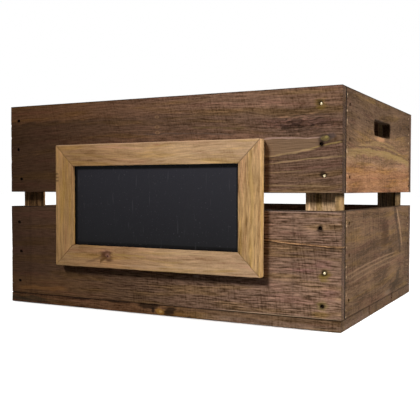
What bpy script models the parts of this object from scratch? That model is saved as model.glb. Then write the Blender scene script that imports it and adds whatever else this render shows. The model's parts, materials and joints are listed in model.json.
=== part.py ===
"""Apple crate of rough-sawn planks nailed to corner posts, with a framed chalkboard.

Metres, +Z up. The origin is the middle of the crate's underside. The crate is long in X,
and the chalkboard is fixed to the front wall, which faces -Y.
"""
from math import cos, pi, sin

import bmesh
import bpy
from mathutils import Matrix, Vector

# Gap left between pieces that touch.
CLEARANCE = 0.0003

# The crate's box, without the chalkboard's frame.
CRATE_LENGTH = 0.500
CRATE_DEPTH = 0.371
BASE_THICKNESS = 0.0135
LOWER_PLANK_HEIGHT = 0.1268
SLOT_HEIGHT = 0.0205
UPPER_PLANK_HEIGHT = 0.1242
CRATE_HEIGHT = BASE_THICKNESS + LOWER_PLANK_HEIGHT + SLOT_HEIGHT + UPPER_PLANK_HEIGHT

# The front and back planks run past the ends of the end planks.
SIDE_THICKNESS = 0.0135
END_THICKNESS = 0.012
ARRIS = 0.0007

# Corner posts: a square batten sawn corner to corner, with blunt toes.
POST_LEG = 0.037
POST_TOE = 0.0035
POST_BELOW_RIM = 0.002

# Base boards run along X and are flush with the walls.
BASE_BOARDS = ("front", "middle", "back")
BASE_BOARD_GAP = 0.003

# The hand hole in each upper end plank.
HAND_HOLE_WIDTH = 0.089
HAND_HOLE_HEIGHT = 0.021
HAND_HOLE_RADIUS = 0.006
HAND_HOLE_CENTRE = CRATE_HEIGHT - 0.0377

# The chalkboard's frame of mitred mouldings, rebated behind for the panel.
FRAME_LENGTH = 0.310
FRAME_HEIGHT = 0.167
FRAME_SHIFT = -0.0015
FRAME_CENTRE = CRATE_HEIGHT / 2
MOULDING_WIDTH = 0.0295
MOULDING_THICKNESS = 0.0125
MOULDING_ROUND = 0.0012
LIP_THICKNESS = 0.0054
REBATE_WIDTH = 0.008

# Round wire nails, (radius, height) from the point to the head, with the head's top at 0.
NAIL_LENGTH = 0.025
NAIL_RADIUS = 0.001
NAIL_POINT = 0.0025
NAIL_HEAD_RADIUS = 0.0023
NAIL_HEAD = 0.0009
NAIL_SUNK = 0.0004

# Countersunk screws that hold the frame from inside the crate.
SCREW_LENGTH = 0.020
SCREW_RADIUS = 0.0017
SCREW_POINT = 0.004
SCREW_HEAD_RADIUS = 0.0034
SCREW_HEAD = 0.0020
SCREW_SOCKET_RADIUS = 0.0013
SCREW_SOCKET = 0.0013
SCREW_SUNK = 0.0002
SCREW_FROM_FRAME_END = 0.045

FASTENER_SIDES = 8
CORNER_STEPS = 4

# Nails of a long wall as (distance from the wall's end, height above the underside),
# seen from outside the wall. Hand-driven, so no two lines are quite straight.
LEFT_NAILS = ((0.015, 0.264), (0.0145, 0.222), (0.0195, 0.1795),
              (0.015, 0.1165), (0.0185, 0.074), (0.016, 0.031))
RIGHT_NAILS = ((0.0255, 0.2645), (0.025, 0.218), (0.0215, 0.181),
               (0.026, 0.120), (0.0205, 0.068), (0.023, 0.029))

# Nails up through each base board into the end planks' lower edges.
BASE_NAIL_SPREAD = 0.040

FRONT = Vector((0, -1, 0))
BACK = Vector((0, 1, 0))
DOWN = Vector((0, 0, -1))


def clear_scene():
    for thing in list(bpy.data.objects):
        bpy.data.objects.remove(thing, do_unlink=True)


def make_material(name, colour, roughness, metallic=0.0):
    material = bpy.data.materials.new(name)
    material.use_nodes = True
    shader = material.node_tree.nodes["Principled BSDF"]
    shader.inputs["Base Color"].default_value = (*colour, 1.0)
    shader.inputs["Roughness"].default_value = roughness
    shader.inputs["Metallic"].default_value = metallic
    return material


def to_mesh(name, bm):
    bmesh.ops.recalc_face_normals(bm, faces=bm.faces)
    mesh = bpy.data.meshes.new(name)
    bm.to_mesh(mesh)
    bm.free()
    return mesh


def add_piece(name, mesh, material, location, parent, outward=None):
    """Add one named object, with its local +Z turned to point outward."""
    piece = bpy.data.objects.new(name, mesh)
    if material is not None and not mesh.materials:
        mesh.materials.append(material)
    piece.location = location
    if outward is not None:
        piece.rotation_mode = "QUATERNION"
        piece.rotation_quaternion = outward.to_track_quat("Z", "Y")
    piece.parent = parent
    bpy.context.scene.collection.objects.link(piece)
    return piece


def make_cutter(name, bm, location, parent):
    cutter = add_piece(name, to_mesh(name, bm), None, location, parent)
    cutter.hide_render = True
    cutter.display_type = "WIRE"
    return cutter


def cut(piece, cutter):
    boolean = piece.modifiers.new(cutter.name, "BOOLEAN")
    boolean.operation = "DIFFERENCE"
    boolean.object = cutter


def board_mesh(name, size):
    """A plank centred on its origin, with every arris taken off."""
    bm = bmesh.new()
    bmesh.ops.create_cube(bm, size=1.0, matrix=Matrix.Diagonal((*size, 1.0)))
    bmesh.ops.bevel(bm, geom=bm.edges[:], offset=ARRIS, segments=1, affect="EDGES")
    return to_mesh(name, bm)


def extrude_outline(bm, outline, depth):
    """Raise a flat closed outline into a solid."""
    bottom = bm.faces.new([bm.verts.new(point) for point in outline])
    raised = bmesh.ops.extrude_face_region(bm, geom=[bottom])
    corners = [item for item in raised["geom"] if isinstance(item, bmesh.types.BMVert)]
    bmesh.ops.translate(bm, verts=corners, vec=depth)


def turn(bm, profile, matrix=Matrix.Identity(4)):
    """Turn (radius, height) points about Z into a closed solid. A zero radius is a pole."""
    rings = []
    for radius, height in profile:
        count = FASTENER_SIDES if radius else 1
        angles = [2 * pi * step / FASTENER_SIDES for step in range(count)]
        rings.append([bm.verts.new(matrix @ Vector((radius * cos(a), radius * sin(a), height)))
                      for a in angles])
    for lower, upper in zip(rings, rings[1:]):
        for step in range(FASTENER_SIDES):
            after = step + 1
            corners = (lower[step % len(lower)], lower[after % len(lower)],
                       upper[after % len(upper)], upper[step % len(upper)])
            bm.faces.new(dict.fromkeys(corners))


def nail_profile():
    edge = NAIL_HEAD / 4
    return ((0, -NAIL_LENGTH), (NAIL_RADIUS, NAIL_POINT - NAIL_LENGTH),
            (NAIL_RADIUS, -NAIL_HEAD), (NAIL_HEAD_RADIUS, -NAIL_HEAD),
            (NAIL_HEAD_RADIUS, -edge), (NAIL_HEAD_RADIUS - edge, 0), (0, 0))


def nail_hole_profile():
    """The nail grown by the clearance, and open above its head."""
    shank = NAIL_RADIUS + CLEARANCE
    head = NAIL_HEAD_RADIUS + CLEARANCE
    under = -NAIL_HEAD - CLEARANCE
    return ((0, -NAIL_LENGTH - 2 * CLEARANCE), (shank, NAIL_POINT - NAIL_LENGTH),
            (shank, under), (head, under), (head, NAIL_HEAD), (0, NAIL_HEAD))


def screw_profile():
    return ((0, -SCREW_LENGTH), (SCREW_RADIUS, SCREW_POINT - SCREW_LENGTH),
            (SCREW_RADIUS, -SCREW_HEAD), (SCREW_HEAD_RADIUS, 0),
            (SCREW_SOCKET_RADIUS, 0), (SCREW_SOCKET_RADIUS, -SCREW_SOCKET), (0, -SCREW_SOCKET))


def screw_hole_profile():
    shank = SCREW_RADIUS + CLEARANCE
    head = SCREW_HEAD_RADIUS + 2 * CLEARANCE
    return ((0, -SCREW_LENGTH - 2 * CLEARANCE), (shank, SCREW_POINT - SCREW_LENGTH),
            (shank, -SCREW_HEAD - CLEARANCE), (head, 0), (head, SCREW_HEAD), (0, SCREW_HEAD))


def drive(prefix, heads, outward, profile, hole_profile, material, parent):
    """Add a fastener at each head's place, and return the cutter for all their holes."""
    fastener = bmesh.new()
    turn(fastener, profile)
    mesh = to_mesh(prefix, fastener)
    mesh.shade_smooth()
    mesh.set_sharp_from_angle(angle=pi / 6)
    facing = outward.to_track_quat("Z", "Y").to_matrix().to_4x4()
    holes = bmesh.new()
    for name, place in heads.items():
        add_piece(f"{prefix}_{name}", mesh, material, place, parent, outward)
        turn(holes, hole_profile, Matrix.Translation(place) @ facing)
    return make_cutter(f"{prefix}_holes", holes, (0, 0, 0), parent)


def wall_planks(materials, crate):
    """Two planks on each of the four walls, as lists by wall."""
    rows = {"upper": (UPPER_PLANK_HEIGHT, CRATE_HEIGHT - UPPER_PLANK_HEIGHT / 2),
            "lower": (LOWER_PLANK_HEIGHT - CLEARANCE,
                      BASE_THICKNESS + (LOWER_PLANK_HEIGHT + CLEARANCE) / 2)}
    side_y = (CRATE_DEPTH - SIDE_THICKNESS) / 2
    end_x = (CRATE_LENGTH - END_THICKNESS) / 2
    end_length = CRATE_DEPTH - 2 * (SIDE_THICKNESS + CLEARANCE)
    walls = {"front": (0, -side_y), "back": (0, side_y),
             "left_end": (-end_x, 0), "right_end": (end_x, 0)}
    planks = {}
    for wall, (x, y) in walls.items():
        for row, (height, z) in rows.items():
            size = (CRATE_LENGTH, SIDE_THICKNESS, height)
            if x:
                size = (END_THICKNESS, end_length, height)
            name = f"{wall}_{row}_plank"
            planks[name] = add_piece(name, board_mesh(name, size), materials["stained_plank"],
                                     (x, y, z), crate)
    return planks


def hand_hole_outline():
    """A rounded rectangle in Y and Z about the hole's centre."""
    half_width = HAND_HOLE_WIDTH / 2 - HAND_HOLE_RADIUS
    half_height = HAND_HOLE_HEIGHT / 2 - HAND_HOLE_RADIUS
    corners = ((half_width, half_height), (-half_width, half_height),
               (-half_width, -half_height), (half_width, -half_height))
    outline = []
    for quarter, (y, z) in enumerate(corners):
        for step in range(CORNER_STEPS + 1):
            angle = pi / 2 * (quarter + step / CORNER_STEPS)
            outline.append((0, y + HAND_HOLE_RADIUS * cos(angle), z + HAND_HOLE_RADIUS * sin(angle)))
    return outline


def hand_holes(planks, crate):
    for end, x in (("left", -CRATE_LENGTH / 2), ("right", CRATE_LENGTH / 2)):
        bm = bmesh.new()
        extrude_outline(bm, hand_hole_outline(), (4 * END_THICKNESS, 0, 0))
        place = (x - 2 * END_THICKNESS, 0, HAND_HOLE_CENTRE)
        cut(planks[f"{end}_end_upper_plank"], make_cutter(f"{end}_hand_hole", bm, place, crate))


def corner_posts(materials, crate):
    """A post in each corner, standing on the base with its two legs against the walls."""
    bottom = BASE_THICKNESS + CLEARANCE
    height = CRATE_HEIGHT - POST_BELOW_RIM - bottom
    corner_x = CRATE_LENGTH / 2 - END_THICKNESS - CLEARANCE
    corner_y = CRATE_DEPTH / 2 - SIDE_THICKNESS - CLEARANCE
    section = ((0, 0), (POST_LEG, 0), (POST_LEG, POST_TOE), (POST_TOE, POST_LEG), (0, POST_LEG))
    posts = {}
    for front_back, y_sign in (("front", -1), ("back", 1)):
        for left_right, x_sign in (("left", -1), ("right", 1)):
            name = f"{front_back}_{left_right}_post"
            bm = bmesh.new()
            outline = [(-x_sign * x, -y_sign * y, 0) for x, y in section]
            extrude_outline(bm, outline, (0, 0, height))
            place = (x_sign * corner_x, y_sign * corner_y, bottom)
            posts[name] = add_piece(name, to_mesh(name, bm), materials["post"], place, crate)
    return posts


def base_board_width():
    gaps = (len(BASE_BOARDS) - 1) * BASE_BOARD_GAP
    return (CRATE_DEPTH - gaps) / len(BASE_BOARDS)


def base_board_centre(index):
    pitch = base_board_width() + BASE_BOARD_GAP
    return (index - (len(BASE_BOARDS) - 1) / 2) * pitch


def base_boards(materials, crate):
    boards = {}
    size = (CRATE_LENGTH, base_board_width(), BASE_THICKNESS)
    for index, row in enumerate(BASE_BOARDS):
        name = f"{row}_base_board"
        place = (0, base_board_centre(index), BASE_THICKNESS / 2)
        boards[name] = add_piece(name, board_mesh(name, size), materials["base_board"],
                                 place, crate)
    return boards


def moulding_outline():
    """The moulding's section as (inset from the outer edge, depth in front of the wall)."""
    arc = [pi / 2 * step / CORNER_STEPS for step in range(CORNER_STEPS + 1)]
    front = MOULDING_THICKNESS - MOULDING_ROUND
    outer = [(MOULDING_ROUND * (1 - cos(a)), front + MOULDING_ROUND * sin(a)) for a in arc]
    inner = [(MOULDING_WIDTH - inset, depth) for inset, depth in reversed(outer)]
    lip_back = MOULDING_THICKNESS - LIP_THICKNESS
    shoulder = MOULDING_WIDTH - REBATE_WIDTH
    rebate = [(MOULDING_WIDTH, lip_back), (shoulder, lip_back), (shoulder, CLEARANCE)]
    return [(0, CLEARANCE), *outer, *inner, *rebate]


def mitred_moulding(name, length):
    """A length of moulding along X with its outer edge up and both ends cut at 45 degrees."""
    bm = bmesh.new()
    ends = []
    for sign in (-1, 1):
        ends.append([bm.verts.new((sign * (length / 2 - inset - CLEARANCE), -depth, -inset))
                     for inset, depth in moulding_outline()])
    for end in ends:
        bm.faces.new(end)
    count = len(ends[0])
    for index in range(count):
        after = (index + 1) % count
        bm.faces.new((ends[0][index], ends[0][after], ends[1][after], ends[1][index]))
    return to_mesh(name, bm)


def chalkboard(materials, crate):
    """The panel and its four mouldings, on the front wall."""
    wall = -CRATE_DEPTH / 2
    half_length = FRAME_LENGTH / 2
    half_height = FRAME_HEIGHT / 2
    sides = (("frame_top_rail", FRAME_LENGTH, 0, half_height, 0),
             ("frame_right_stile", FRAME_HEIGHT, half_length, 0, pi / 2),
             ("frame_bottom_rail", FRAME_LENGTH, 0, -half_height, pi),
             ("frame_left_stile", FRAME_HEIGHT, -half_length, 0, -pi / 2))
    mouldings = {}
    for name, length, x, z, turned in sides:
        place = (FRAME_SHIFT + x, wall, FRAME_CENTRE + z)
        piece = add_piece(name, mitred_moulding(name, length), materials["frame"], place, crate)
        piece.rotation_euler = (0, turned, 0)
        mouldings[name] = piece
    border = 2 * (MOULDING_WIDTH - REBATE_WIDTH + CLEARANCE)
    depth = MOULDING_THICKNESS - LIP_THICKNESS - 2 * CLEARANCE
    size = (FRAME_LENGTH - border, depth, FRAME_HEIGHT - border)
    place = (FRAME_SHIFT, wall - CLEARANCE - depth / 2, FRAME_CENTRE)
    add_piece("chalkboard_panel", board_mesh("chalkboard_panel", size),
              materials["chalkboard"], place, crate)
    return mouldings


def nail_long_walls(planks, posts, materials, crate):
    """Six nails at each end of the front and back walls, through the planks into the posts."""
    for wall, outward in (("front", FRONT), ("back", BACK)):
        face = outward * (CRATE_DEPTH / 2 - NAIL_SUNK)
        to_right = outward.cross(DOWN)
        heads = {}
        for end, nails, sign in (("left", LEFT_NAILS, -1), ("right", RIGHT_NAILS, 1)):
            for number, (inset, height) in enumerate(nails, start=1):
                across = to_right * sign * (CRATE_LENGTH / 2 - inset)
                heads[f"{end}_{number}"] = face + across + Vector((0, 0, height))
        holes = drive(f"{wall}_nail", heads, outward, nail_profile(), nail_hole_profile(),
                      materials["nail"], crate)
        for name, piece in {**planks, **posts}.items():
            if name.startswith(wall):
                cut(piece, holes)


def nail_base(boards, planks, materials, crate):
    """Two nails at each end of each base board, up into the end planks."""
    x = (CRATE_LENGTH - END_THICKNESS) / 2
    heads = {}
    for index, row in enumerate(BASE_BOARDS):
        for end, sign in (("left", -1), ("right", 1)):
            for number, spread in enumerate((-BASE_NAIL_SPREAD, BASE_NAIL_SPREAD), start=1):
                y = base_board_centre(index) + spread
                heads[f"{row}_{end}_{number}"] = Vector((sign * x, y, NAIL_SUNK))
    holes = drive("base_nail", heads, DOWN, nail_profile(), nail_hole_profile(),
                  materials["nail"], crate)
    for piece in (*boards.values(), planks["left_end_lower_plank"],
                  planks["right_end_lower_plank"]):
        cut(piece, holes)


def screw_frame(planks, mouldings, materials, crate):
    """Two screws into each rail of the frame, driven from inside the crate."""
    inside = -CRATE_DEPTH / 2 + SIDE_THICKNESS - SCREW_SUNK
    across = FRAME_LENGTH / 2 - SCREW_FROM_FRAME_END
    up = (FRAME_HEIGHT - MOULDING_WIDTH) / 2
    heads = {}
    for rail, z in (("top", FRAME_CENTRE + up), ("bottom", FRAME_CENTRE - up)):
        for end, sign in (("left", -1), ("right", 1)):
            heads[f"{rail}_{end}"] = Vector((FRAME_SHIFT + sign * across, inside, z))
    holes = drive("frame_screw", heads, BACK, screw_profile(), screw_hole_profile(),
                  materials["screw"], crate)
    for piece in (planks["front_upper_plank"], planks["front_lower_plank"],
                  mouldings["frame_top_rail"], mouldings["frame_bottom_rail"]):
        cut(piece, holes)


def build():
    clear_scene()
    materials = {"stained_plank": make_material("stained_plank", (0.14, 0.078, 0.048), 0.75),
                 "post": make_material("post", (0.24, 0.155, 0.075), 0.75),
                 "base_board": make_material("base_board", (0.12, 0.070, 0.042), 0.80),
                 "frame": make_material("frame", (0.39, 0.24, 0.115), 0.60),
                 "chalkboard": make_material("chalkboard", (0.022, 0.022, 0.026), 0.70),
                 "nail": make_material("nail", (0.42, 0.33, 0.18), 0.35, 1.0),
                 "screw": make_material("screw", (0.50, 0.46, 0.36), 0.35, 1.0)}
    crate = bpy.data.objects.new("crate", None)
    bpy.context.scene.collection.objects.link(crate)
    planks = wall_planks(materials, crate)
    hand_holes(planks, crate)
    posts = corner_posts(materials, crate)
    boards = base_boards(materials, crate)
    mouldings = chalkboard(materials, crate)
    nail_long_walls(planks, posts, materials, crate)
    nail_base(boards, planks, materials, crate)
    screw_frame(planks, mouldings, materials, crate)


build()
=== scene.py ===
"""Looks of the apple crate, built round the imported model.

Metres, +Z up, in the model's own frame: the crate is long in X, and its front faces -Y.
Every piece keeps its object at the origin, so object coordinates in a material are places on
the crate.
"""

import json
from math import cos, pi, radians, sin, tau

import bmesh
import bpy
import numpy as np
from mathutils import Matrix, Vector

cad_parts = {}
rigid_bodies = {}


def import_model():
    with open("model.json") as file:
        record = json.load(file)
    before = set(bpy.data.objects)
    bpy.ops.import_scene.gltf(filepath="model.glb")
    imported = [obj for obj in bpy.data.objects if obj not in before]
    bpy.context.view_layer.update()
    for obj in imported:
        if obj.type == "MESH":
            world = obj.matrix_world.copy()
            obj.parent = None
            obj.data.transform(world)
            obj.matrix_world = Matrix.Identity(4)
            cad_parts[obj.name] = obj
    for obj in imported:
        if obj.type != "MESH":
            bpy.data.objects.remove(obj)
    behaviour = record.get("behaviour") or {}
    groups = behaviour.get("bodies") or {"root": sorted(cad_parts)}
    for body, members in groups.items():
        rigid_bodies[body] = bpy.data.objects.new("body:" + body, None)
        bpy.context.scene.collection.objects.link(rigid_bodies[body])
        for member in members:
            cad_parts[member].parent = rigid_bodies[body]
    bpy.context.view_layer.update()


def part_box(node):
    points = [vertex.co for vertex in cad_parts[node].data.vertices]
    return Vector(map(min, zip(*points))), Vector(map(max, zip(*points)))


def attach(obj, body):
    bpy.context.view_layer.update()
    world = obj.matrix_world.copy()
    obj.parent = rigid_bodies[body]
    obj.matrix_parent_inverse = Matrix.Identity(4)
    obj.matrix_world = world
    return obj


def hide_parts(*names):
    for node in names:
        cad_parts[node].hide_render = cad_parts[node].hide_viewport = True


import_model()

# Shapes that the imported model's boxes don't give.
CLEARANCE = 0.0003
POST_TOE = 0.0035
POST_ROUND = 0.0008
MOULDING_WIDTH = 0.0295
MOULDING_ROUND = 0.0006
LIP_THICKNESS = 0.0054
REBATE_WIDTH = 0.008
HAND_HOLE_WIDTH = 0.089
HAND_HOLE_HEIGHT = 0.021
HAND_HOLE_RADIUS = 0.006
HAND_HOLE_BELOW_RIM = 0.0377
HAND_HOLE_EASED = 0.0016
NAIL_LENGTH = 0.025
NAIL_POINT = 0.0025
NAIL_RADIUS = 0.001
NAIL_HEAD_RADIUS = 0.0023
NAIL_HEAD = 0.0009
NAIL_SUNK = 0.0004
NAIL_ROOM = 0.0002
NAIL_LEAN = 5
SCREW_LENGTH = 0.020
SCREW_RADIUS = 0.0017
SCREW_HEAD_RADIUS = 0.0034
SCREW_HEAD = 0.0020
SCREW_THREADS = 9

# How finely the surfaces are divided.
BOARD_PITCH = 0.0019
MOULDING_PITCH = 0.0016
POST_PITCH = 0.0022
TURNED_SIDES = 28

# The nails with bare heads, whose pale colour is partly a painted highlight. The others are
# stained with the wood and sunk deeper. A head is (radius, how far below its place it lies).
BARE_NAILS = {"front_nail_right_1", "front_nail_right_3", "front_nail_right_5"}
BARE_HEAD = (0.0016, 0.0001)
STAINED_HEAD = (0.0019, 0.0012)

# Nails of the two end walls as (distance from the crate's front face, height).
RIGHT_END_NAILS = ((0.029, 0.2652), (0.0297, 0.224), (0.0305, 0.1797),
                   (0.030, 0.1253), (0.030, 0.0873), (0.030, 0.0338),
                   (0.353, 0.261), (0.352, 0.213), (0.353, 0.171),
                   (0.353, 0.1205), (0.352, 0.080), (0.353, 0.027))
LEFT_END_NAILS = ((0.028, 0.2612), (0.029, 0.2275), (0.028, 0.1755),
                  (0.029, 0.1225), (0.0285, 0.0795), (0.029, 0.0355),
                  (0.352, 0.2585), (0.353, 0.209), (0.352, 0.174),
                  (0.353, 0.1165), (0.352, 0.0835), (0.353, 0.0245))

# The planks that carry only knots, as (axes along, across and through the grain, seed, knots),
# with each knot as (along, across, radius).
PLAIN_PLANKS = {
    "back_upper_plank": ("XZY", 3, ((-0.118, 0.2150, 0.0050), (0.162, 0.2480, 0.0038),
                                    (0.048, 0.1850, 0.0030))),
    "back_lower_plank": ("XZY", 4, ((0.070, 0.0920, 0.0055), (-0.175, 0.0430, 0.0040))),
    "left_end_upper_plank": ("YZX", 7, ((0.118, 0.1960, 0.0045),)),
    "left_end_lower_plank": ("YZX", 8, ((-0.092, 0.0750, 0.0052), (0.105, 0.1080, 0.0030)))}

# Soft lamps as (name, place, target, width, watts), and the strength of the light all round.
SOFT_LAMPS = (("right", (1.60, 0.20, 0.85), (0.25, 0.0, 0.14), 0.6, 42),
              ("back", (-0.30, 1.70, 0.90), (0.0, 0.19, 0.14), 1.0, 26),
              ("left", (-1.70, 0.40, 0.50), (-0.25, 0.0, 0.14), 0.7, 22),
              ("grazing", (1.50, -0.26, 0.45), (0.15, -0.19, 0.14), 0.4, 22))
AMBIENT = 0.11

# The camera's place in metres, its turn in degrees and its focal length in millimetres.
CAMERA_PLACE = (0.4890, -0.9695, 0.1658)
CAMERA_TURN = (90 - 1.724, -0.104, 27.574)
CAMERA_LENS = 60.4


# ---------------------------------------------------------------- uneven surfaces

class Unevenness:
    """Smooth random values between -1 and 1, the same at each run."""

    CELLS = 48

    def __init__(self, seed):
        generator = np.random.default_rng(seed)
        self.table = generator.uniform(-1, 1, (self.CELLS,) * 3)

    def __call__(self, points, cell):
        """The value at each point, changing over about one cell, a length for each axis."""
        scaled = points / np.asarray(cell, float)
        whole = np.floor(scaled).astype(int)
        share = scaled - whole
        share = share * share * (3 - 2 * share)
        total = np.zeros(len(points))
        for corner in np.ndindex(2, 2, 2):
            weight = np.prod(np.where(corner, share, 1 - share), axis=1)
            index = (whole + corner) % self.CELLS
            total += weight * self.table[tuple(index.T)]
        return total


def rise(values, low, high):
    """0 below low, 1 above high, and a smooth step between them."""
    share = np.clip((values - low) / (high - low), 0, 1)
    return share * share * (3 - 2 * share)


# ---------------------------------------------------------------- meshes

def corners_of(node):
    """A node's box, as its low corner and its high one."""
    return [np.array(corner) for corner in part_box(node)]


def make_mesh(name, points, faces):
    mesh = bpy.data.meshes.new(name)
    mesh.from_pydata(np.asarray(points).tolist(), [], faces)
    mesh.validate()
    return mesh


def outward_faces(mesh):
    bm = bmesh.new()
    bm.from_mesh(mesh)
    bmesh.ops.recalc_face_normals(bm, faces=bm.faces)
    bm.to_mesh(mesh)
    bm.free()


def lattice_lines(low, high, pitch, arris):
    """Places of a lattice's lines along one axis, closer together beside both ends."""
    beside = arris * np.array((0, 0.3, 0.7, 1.3, 2.2))
    count = max(2, round((high - low - 2 * beside[-1]) / pitch))
    middle = np.linspace(low + beside[-1], high - beside[-1], count + 1)
    return np.concatenate((low + beside[:-1], middle, high - beside[-2::-1]))


def lattice_shell(lines):
    """The outside of a lattice of points, as its points and its four-sided faces."""
    inside = np.zeros([len(line) for line in lines], bool)
    inside[1:-1, 1:-1, 1:-1] = True
    numbers = (np.cumsum(~inside) - 1).reshape(inside.shape)
    points = np.stack(np.meshgrid(*lines, indexing="ij"), -1)[~inside]
    faces = []
    for axis in range(3):
        for side in (0, -1):
            layer = np.take(numbers, side, axis)
            quads = np.stack((layer[:-1, :-1], layer[1:, :-1], layer[1:, 1:], layer[:-1, 1:]), -1)
            quads = quads.reshape(-1, 4)
            turned = (side == 0) != (axis == 1)
            faces += (quads[:, ::-1] if turned else quads).tolist()
    return points, faces


def loft(name, rings):
    """A closed mesh through rings of points, with a flat face at both ends."""
    count = len(rings[0])
    points = np.concatenate(rings)
    faces = [list(range(count))[::-1]]
    for ring in range(len(rings) - 1):
        for step in range(count):
            after = (step + 1) % count
            first = ring * count
            faces.append((first + step, first + after, first + count + after, first + count + step))
    faces.append([(len(rings) - 1) * count + step for step in range(count)])
    mesh = make_mesh(name, points, faces)
    outward_faces(mesh)
    return mesh


def turned_mesh(name, profile):
    """Turn (radius, height) pairs about Z into a closed mesh."""
    angles = [tau * step / TURNED_SIDES for step in range(TURNED_SIDES)]
    rings = [np.array([(radius * cos(a), radius * sin(a), height) for a in angles])
             for radius, height in profile]
    return loft(name, rings)


def rounded_outline(corners, radius, pitch, steps=3):
    """A closed outline with rounded corners and points about one pitch apart."""
    outline = []
    count = len(corners)
    for index in range(count):
        corner = np.array(corners[index], float)
        before = np.array(corners[index - 1], float) - corner
        after = np.array(corners[(index + 1) % count], float) - corner
        length = np.linalg.norm(after)
        before /= np.linalg.norm(before)
        after /= length
        start = corner + before * radius
        end = corner + after * radius
        for step in range(steps + 1):
            share = step / steps
            rest = 1 - share
            outline.append(rest ** 2 * start + 2 * share * rest * corner + share ** 2 * end)
        inner = length - 2 * radius
        pieces = max(1, round(inner / pitch))
        outline += [end + after * inner * step / pieces for step in range(1, pieces)]
    return np.array(outline)


def outline_normals(outline):
    """Unit normals that point out of a closed outline, at its points."""
    after = np.roll(outline, -1, 0)
    along = after - np.roll(outline, 1, 0)
    area = np.sum(outline[:, 0] * after[:, 1] - outline[:, 1] * after[:, 0])
    normals = np.sign(area) * np.stack((along[:, 1], -along[:, 0]), -1)
    return normals / np.linalg.norm(normals, axis=1, keepdims=True)


# ---------------------------------------------------------------- pieces

def slot_of(node):
    """The material slot of a node, by the end of its name."""
    slots = {"plank": "stained_plank", "post": "post", "base_board": "base_board",
             "rail": "frame", "stile": "frame", "panel": "chalkboard"}
    return next(slot for ending, slot in slots.items() if node.endswith(ending))


def add_piece(name, mesh, material, slot, *nodes):
    """Add a piece that rides on the crate and stands for those nodes."""
    piece = bpy.data.objects.new(name, mesh)
    bpy.context.scene.collection.objects.link(piece)
    mesh.materials.clear()
    mesh.materials.append(material)
    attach(piece, "root")
    if nodes:
        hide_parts(*nodes)
    return piece


def cut(mesh, cutters):
    """The mesh with each cutter mesh taken away from it."""
    scene = bpy.context.scene
    block = bpy.data.objects.new("block", mesh)
    scene.collection.objects.link(block)
    tools = []
    for cutter in cutters:
        tool = bpy.data.objects.new("tool", cutter)
        scene.collection.objects.link(tool)
        boolean = block.modifiers.new("cut", "BOOLEAN")
        boolean.operation = "DIFFERENCE"
        boolean.solver = "MANIFOLD"
        boolean.object = tool
        tools.append(tool)
    bpy.context.view_layer.update()
    shown = block.evaluated_get(bpy.context.evaluated_depsgraph_get())
    result = bpy.data.meshes.new_from_object(shown)
    for thing in (block, *tools):
        bpy.data.objects.remove(thing)
    return result


def joined(name, meshes):
    """One mesh of several bodies that don't touch."""
    bm = bmesh.new()
    for mesh in meshes:
        bm.from_mesh(mesh)
    whole = bpy.data.meshes.new(name)
    bm.to_mesh(whole)
    bm.free()
    return whole


# ---------------------------------------------------------------- nails and screws

def nail_profile(edge, sunk):
    """A nail whose head lies that far below its place, with its tip where it always is."""
    return ((0.0001, -NAIL_LENGTH), (NAIL_RADIUS, -NAIL_LENGTH + NAIL_POINT),
            (NAIL_RADIUS, -NAIL_HEAD - sunk), (edge * 0.97, -NAIL_HEAD - sunk),
            (edge, -NAIL_HEAD * 0.7 - sunk), (edge, -NAIL_HEAD * 0.35 - sunk),
            (edge * 0.93, -NAIL_HEAD * 0.12 - sunk), (edge * 0.75, 0.00002 - sunk),
            (edge * 0.45, 0.00010 - sunk), (edge * 0.12, 0.00013 - sunk))


def nail_hole_profile(edge, sunk):
    """The nail with a little room round it, and a pit of crushed wood above its head."""
    shank = NAIL_RADIUS + NAIL_ROOM
    under = -NAIL_HEAD - NAIL_ROOM - sunk
    return ((0.0001, -NAIL_LENGTH - 0.0004), (shank, -NAIL_LENGTH + 0.0022), (shank, under),
            (edge + NAIL_ROOM, under), (edge + 0.0003, -0.0003 - sunk),
            (NAIL_HEAD_RADIUS, 0.0), (NAIL_HEAD_RADIUS * 1.10, 0.0003),
            (NAIL_HEAD_RADIUS * 1.35, 0.0006),
            (NAIL_HEAD_RADIUS * 1.35, 0.0016))


def screw_profile():
    """A countersunk screw, its thread drawn as separate rings."""
    head = SCREW_HEAD_RADIUS
    turns = []
    first, last = -SCREW_LENGTH + 0.004, -SCREW_HEAD - 0.002
    for step in range(SCREW_THREADS):
        middle = first + (last - first) * (step + 0.5) / SCREW_THREADS
        half = (last - first) / SCREW_THREADS / 2
        turns += [(SCREW_RADIUS * 0.68, middle - half * 0.7), (SCREW_RADIUS, middle),
                  (SCREW_RADIUS * 0.68, middle + half * 0.7)]
    return ((0.0001, -SCREW_LENGTH), *turns, (SCREW_RADIUS * 0.75, -SCREW_HEAD),
            (head * 0.96, -0.00025), (head, -0.0001), (head * 0.97, 0), (head * 0.4, 0))


def screw_hole_profile():
    head = SCREW_HEAD_RADIUS + 0.0003
    shank = SCREW_RADIUS + 0.0002
    return ((0.0001, -SCREW_LENGTH - 0.0003), (shank, -SCREW_LENGTH + 0.003),
            (shank, -SCREW_HEAD - 0.0002), (head, 0), (head, 0.0015))


def cross_recess():
    """Two crossed tapered blades, which leave a screw head's driving recess."""
    blades = []
    for turned in (0, pi / 2):
        rings = []
        for height, long, wide in ((-0.0016, 0.0005, 0.0002), (0.0004, 0.0019, 0.00045)):
            corners = ((long, wide), (-long, wide), (-long, -wide), (long, -wide))
            rings.append(np.array([(x * cos(turned) - y * sin(turned),
                                    x * sin(turned) + y * cos(turned), height)
                                   for x, y in corners]))
        blades.append(loft("blade", rings))
    return blades


def placed(mesh, matrix):
    """A copy of the mesh, moved by the matrix."""
    copy = mesh.copy()
    copy.transform(matrix)
    return copy


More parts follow.
